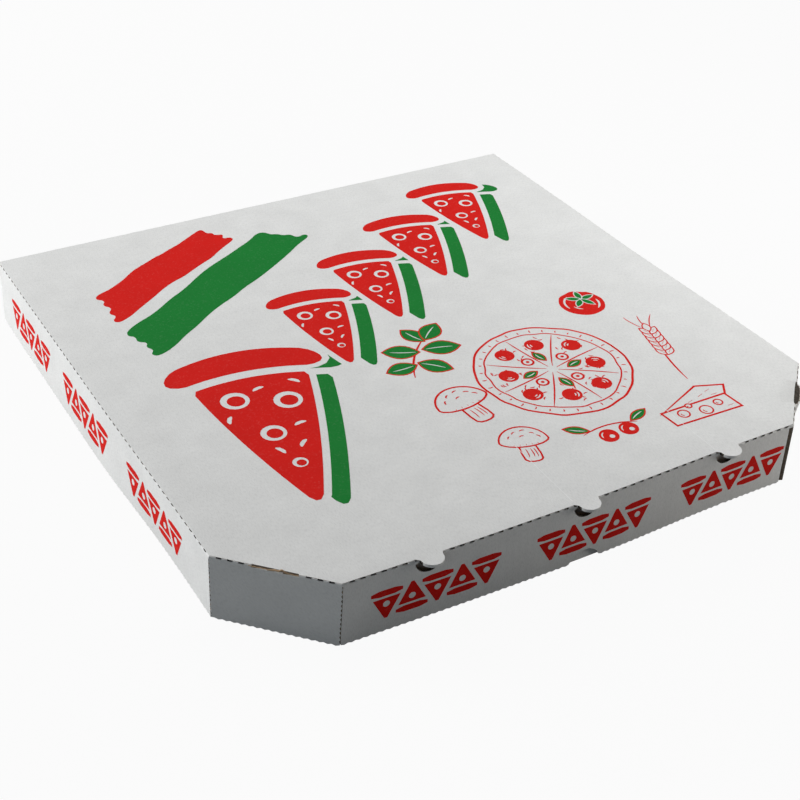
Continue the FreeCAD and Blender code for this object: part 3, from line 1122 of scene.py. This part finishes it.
def whole_pizza(radius):
    """A round pizza seen from above, cut in eight."""
    dice = random.Random(5)
    rim = [point * dice.uniform(0.985, 1.015) for point in disc((0, 0), radius, 40)]
    bed = [point * dice.uniform(0.98, 1.02) for point in disc((0, 0), radius * 0.86, 40)]
    paint = drawn(softened(rim, 1), 1.2) + drawn(softened(bed, 1), 0.8)
    for way in disc((0, 0), 1, 34):
        tick = way * radius * 0.9, way * radius * dice.uniform(0.94, 0.97)
        paint += line(bow(*tick, 0.3, 3), 0.7)
    for index, first_way in enumerate(disc((0, 0), 1, 8)):
        way = Matrix.Rotation(0.2, 2) @ first_way
        paint += line(bow(way * 3, way * radius * 0.84, 0.5), 0.8)
        middle = Matrix.Rotation(math.pi / 8, 2) @ way
        for _ in range(13):
            spot = Matrix.Rotation(dice.uniform(-0.27, 0.27), 2) @ middle * radius * dice.uniform(0.28, 0.8)
            dash = bow((-1.3, 0), (1.3, 0), 0.4, 3)
            paint += line(moved(dash, spot, dice.uniform(0, 180)), 0.7)
        spot = middle * radius * (0.6 if index % 2 else 0.66)
        paint.append((disc(spot, 5.2, 22), RED))
        for reach in (1.8, 3.4):
            shine = arc(spot, reach, 100 + 40 * index, 175 + 40 * index, 5)
            paint += line(shine, 0.8, BARE)
        if index % 2:
            turn = math.degrees(math.atan2(middle.y, middle.x)) + 25
            paint += leaf(middle * radius * 0.22, turn, 9, 4.6)
        else:
            spot = middle * radius * 0.34
            paint += drawn(disc(spot, 2.4, 16)) + [(disc(spot, 1.0, 10), RED)]
    return paint


def mushroom():
    stem = polygon((-4.2, 1), (-5.4, -15), (-3, -17.5), (3, -17.5), (5.4, -15), (4.2, 1))
    cap = arc((0, 0), 15, 4, 176, 14) + bow((-14.9, 0), (14.9, 0), -3.5, 8)[1:-1]
    paint = drawn(softened(stem, 1)) + drawn(softened(cap, 1))
    for x, y, lean in ((-8, 6, 60), (-4, 10, 40), (2, 11.5, 10), (7, 8, -30), (10, 4.5, -50), (0, 6, 15)):
        paint += line(moved(bow((-1.6, 0), (1.6, 0), 0.5, 4), (x, y), lean), 0.8)
    for x in (-8, -4, 0, 4, 8):
        paint += line(polygon((x * 0.9, -1.4), (x, -2.6)), 0.7)
    for x in (-2, 1, 3):
        paint += line(bow((x, -6), (x * 1.1, -14), 0.3, 4), 0.6)
    return paint


def tomato():
    body = disc((0, 0), 13, 16)
    for index, point in enumerate(body):
        point.y += 0.8 * math.cos(3 * index)
    paint = [(softened(body, 1), RED)]
    for start, end in ((120, 200), (-50, 10)):
        paint += line(arc((0, 0), 9.6, start, end, 8), 1.2, BARE)
    paint += line(arc((0, 0), 6.4, 200, 250, 6), 0.9, BARE)
    for turn in range(0, 360, 72):
        petal = moved(pointed(8.5, 1.6), (1.5, 4), turn + 15)
        paint += [(grown(petal, 0.6), BARE), (petal, GREEN)]
    return paint


def wheat_ear():
    paint = line(bow((0, -34), (0, 8), 1.5, 10), 1.0)
    grain = pointed(7.4, 1.9)
    for step in range(6):
        for turn in (125, 55):
            paint += drawn(moved(grain, (0.3, -10 + 4.2 * step), turn), 0.7)
            paint += line(moved(polygon((2, 0), (5, 0)), (0.3, -10 + 4.2 * step), turn), 0.5)
    for reach in (-5, 0, 5):
        paint += line(bow((reach * 0.5, 18), (reach * 1.6, 30), 0.6, 5), 0.6)
    return paint + drawn(moved(grain, (0.3, 14), 90), 0.7)


def cheese():
    front = polygon((-21, -9), (17, -13), (17, -1.5), (-21, 1.5))
    top = polygon((-21, 1.5), (17, -1.5), (22, 5), (9, 11))
    paint = drawn(top) + drawn(front)
    for x, y, radius in ((-12, -3.6, 2.6), (0, -6.8, 3.0), (9.5, -5, 1.9), (-5.5, 0.2, 1.3)):
        paint += drawn(disc((x, y), radius, 18), 0.8)
        paint += line(arc((x, y), radius * 0.55, 150, 250, 4), 0.6)
    for x, y, lean in ((6, 4, 15), (12, 5.5, 10), (-2, 2.6, 12), (13, 1.4, -5), (13.5, -10, -5)):
        paint += line(moved(polygon((-1.8, 0), (1.8, 0)), (x, y), lean), 0.6)
    return paint


def basil():
    """A sprig of broad green leaves on a drawn stem."""
    paint = line(bow((-15, -17), (9, 10), 2.5, 10), 1.1)
    for place, turn, length in (
        ((-8, -8), 175, 16),
        ((-6, -7), -50, 17),
        ((0, 1), 150, 18),
        ((3, 2), -20, 19),
        ((8, 8), 105, 15),
        ((9, 9), 35, 17),
    ):
        paint += leaf(place, turn, length, length * 0.62)
    return paint


def olives():
    paint = line(bow((-16, 4), (14, 3), 3, 8), 0.9)
    for place in ((-5, -1), (7, 0)):
        paint += [(disc(place, 5.0, 20), RED), (disc(Vector(place) + Vector((1.2, -1.0)), 1.4, 12), BARE)]
        paint += line(arc(place, 3.4, 110, 190, 5), 0.8, BARE)
    return paint + leaf((-12, 6), 150, 12, 5) + leaf((12, 5), 25, 12, 5)


def table_drawing():
    """A line drawing of a whole pizza with what goes on it round about."""
    paint = shifted(whole_pizza(40), (48, -66))
    paint += shifted(basil(), (-4, -22), 5, 1.05)
    paint += shifted(tomato(), (101, -18), -8, 1.0)
    paint += shifted(wheat_ear(), (112, -72), -14, 1.0)
    paint += shifted(mushroom(), (-8, -72), 8, 0.95)
    paint += shifted(mushroom(), (0, -112), -14, 0.8)
    paint += shifted(cheese(), (94, -124), 4, 1.0)
    paint += shifted(olives(), (44, -125), -3, 1.0)
    return paint


STRIPES = [
    # corners, seed of the wavy sides, ink
    ([(-129, 76), (-37, 135), (-50, 155), (-129, 109)], 3, RED),
    ([(-123, 36), (4, 119), (-22, 136), (-129, 66)], 8, GREEN),
]
# The score lines are painted highlights: light lines that stand in for the light along each crease.
SCORES = [
    # ends of the faint score lines that run back from two of the tabs
    ((-5.7, -158), (-5.7, -106)),
    ((76.5, -158), (76.5, -106)),
]
SMALL_STEP = 12.8 * 0.96
GROUP_LEVEL = 16.3
GROUPS = {
    # middles of the groups of small slices on each flap
    "front": (-78, 5.5, 88),
    "left": (-114, -30, 58),
    "right": (-58, 30, 114),
}


def top_paint():
    paint = [(brush_stripe(corners, seed), shade) for corners, seed, shade in STRIPES]
    paint += slice_row() + table_drawing()
    for start, end in SCORES:
        paint.append((stroke(polygon(start, end), 0.7), SCORE_HIGHLIGHT))
    return paint


def slice_group(middle):
    """Five small slices, points down and up in turns."""
    paint = []
    filling = polygon((-6.6, 3.4), (-0.7, -8), (0.7, -8), (6.6, 3.4))
    crust = polygon((-7.6, 4.6), (7.6, 4.6), (7.6, 8), (-7.6, 8))
    for index in range(5):
        flip = 180 if index % 2 else 0
        place = (middle + (index - 2) * SMALL_STEP, GROUP_LEVEL)
        paint.append((moved(filling, place, flip), RED))
        paint.append((moved(softened(crust, 1), place, flip), RED))
        paint.append((moved(disc((0, 0), 1.7, 14), place, flip), BARE))
    return paint


print_on("top", top_paint())
for panel, middles in GROUPS.items():
    print_on(panel, [painted for middle in middles for painted in slice_group(middle)])


# Floor, light and camera

FLOOR_GREY = 0.35
FLOOR_GLOW = 0.95
WORLD_LIGHT = 0.02
WHITE = (1, 1, 1)

floor_material, floor_shader = new_material("floor", 0.9)
floor_shader.inputs["Base Color"].default_value = (FLOOR_GREY, FLOOR_GREY, FLOOR_GREY, 1)
glow = add_node(floor_material, "ShaderNodeEmission")
glow.inputs["Color"].default_value = (*WHITE, 1)
glow.inputs["Strength"].default_value = 1.0
seen = add_node(floor_material, "ShaderNodeLightPath")
share = add_math(floor_material, "MULTIPLY", seen.outputs["Is Camera Ray"], FLOOR_GLOW)
blend = add_node(floor_material, "ShaderNodeMixShader")
floor_links = floor_material.node_tree.links
floor_links.new(share, blend.inputs[0])
floor_links.new(floor_shader.outputs[0], blend.inputs[1])
floor_links.new(glow.outputs[0], blend.inputs[2])
floor_links.new(blend.outputs[0], floor_material.node_tree.nodes["Material Output"].inputs["Surface"])

bpy.ops.mesh.primitive_plane_add(size=12, location=(0, 0, 0))
floor = bpy.context.object
floor.name = "floor"
floor.data.materials.append(floor_material)

world = bpy.data.worlds.new("studio")
bpy.context.scene.world = world
world.use_nodes = True
backdrop = world.node_tree.nodes["Background"]
sight = world.node_tree.nodes.new("ShaderNodeLightPath")
level = world.node_tree.nodes.new("ShaderNodeMapRange")
level.inputs["To Min"].default_value = WORLD_LIGHT
level.inputs["To Max"].default_value = 1.0
world.node_tree.links.new(sight.outputs["Is Camera Ray"], level.inputs["Value"])
world.node_tree.links.new(level.outputs["Result"], backdrop.inputs["Strength"])
backdrop.inputs["Color"].default_value = (*WHITE, 1)


LAMPS = [
    # name, place, aim, size, power, colour
    ("key", (-1.25, 1.35, 0.7), (-0.1, 0, 0), 0.9, 46.5, WHITE),
    ("overhead", (0.35, 0.65, 1.0), (0.05, 0, 0), 0.9, 6.0, WHITE),
    ("front", (0.38, -0.33, 0.09), (0.1, -0.16, 0.02), 0.17, 0.5, (1.0, 0.96, 0.91)),
    ("right", (0.45, -0.02, 0.25), (0.15, -0.02, 0.03), 0.3, 0.8, WHITE),
    ("fill", (-1.1, -0.9, 0.35), (-0.14, -0.14, 0.02), 0.8, 2.05, (0.82, 0.92, 1.0)),
]


def new_lamp(name, place, aim, size, power, colour):
    data = bpy.data.lights.new(name, "AREA")
    data.size = size
    data.energy = power
    data.color = colour
    lamp = bpy.data.objects.new(name, data)
    bpy.context.scene.collection.objects.link(lamp)
    lamp.location = place
    lamp.visible_camera = False
    lamp.rotation_euler = (Vector(aim) - Vector(place)).to_track_quat("-Z", "Y").to_euler()


for lamp_values in LAMPS:
    new_lamp(*lamp_values)

CAMERA_PLACE = Vector((-0.34289, -0.56787, 0.43337))
CAMERA_AZIMUTH = math.radians(-30.984)
CAMERA_ELEVATION = math.radians(33.659)
CAMERA_ROLL = math.radians(1.976)
CAMERA_SENSOR = 36
CAMERA_LENS = 66.24

back = Vector((
    math.sin(CAMERA_AZIMUTH) * math.cos(CAMERA_ELEVATION),
    -math.cos(CAMERA_AZIMUTH) * math.cos(CAMERA_ELEVATION),
    math.sin(CAMERA_ELEVATION),
))
level_right = UP.cross(back).normalized()
level_up = back.cross(level_right)
right = level_right * math.cos(CAMERA_ROLL) + level_up * math.sin(CAMERA_ROLL)
up = level_up * math.cos(CAMERA_ROLL) - level_right * math.sin(CAMERA_ROLL)
lens = bpy.data.cameras.new("camera")
lens.sensor_width = CAMERA_SENSOR
lens.lens = CAMERA_LENS
lens.clip_start = 0.01
camera = bpy.data.objects.new("camera", lens)
bpy.context.scene.collection.objects.link(camera)
camera.matrix_world = Matrix.Translation(CAMERA_PLACE) @ Matrix((right, up, back)).transposed().to_4x4()
bpy.context.scene.camera = camera
bpy.context.scene.view_settings.view_transform = "Standard"
